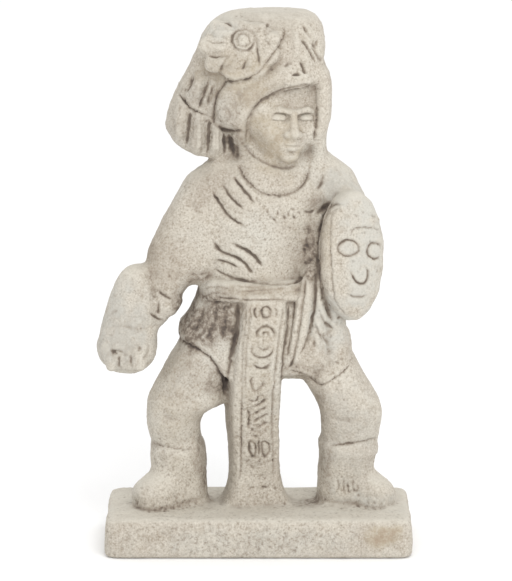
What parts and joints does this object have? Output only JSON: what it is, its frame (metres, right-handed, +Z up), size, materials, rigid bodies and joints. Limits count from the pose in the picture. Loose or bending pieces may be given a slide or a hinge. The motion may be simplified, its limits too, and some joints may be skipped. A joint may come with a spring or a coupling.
{
  "type": "stone warrior figure",
  "caption": "Cast stone figure of a standing warrior in a feathered headdress, with a blunt club and an egg-shaped shield, on a low rectangular plinth.",
  "frame": {"origin": "centre of the plinth's underside, which is the face that the figure stands on", "axes": "+Z up along the figure's height, -Y towards the viewer that the figure's body faces, +X to the viewer's right"},
  "size_m": [0.2538, 0.114, 0.433],
  "materials": {
    "cast_stone": "matt weathered cast stone, buff cream with brown dirt in the grooves"
  },
  "bodies": {
    "root": {"warrior_figure": "cast_stone"}
  },
  "joints": []
}
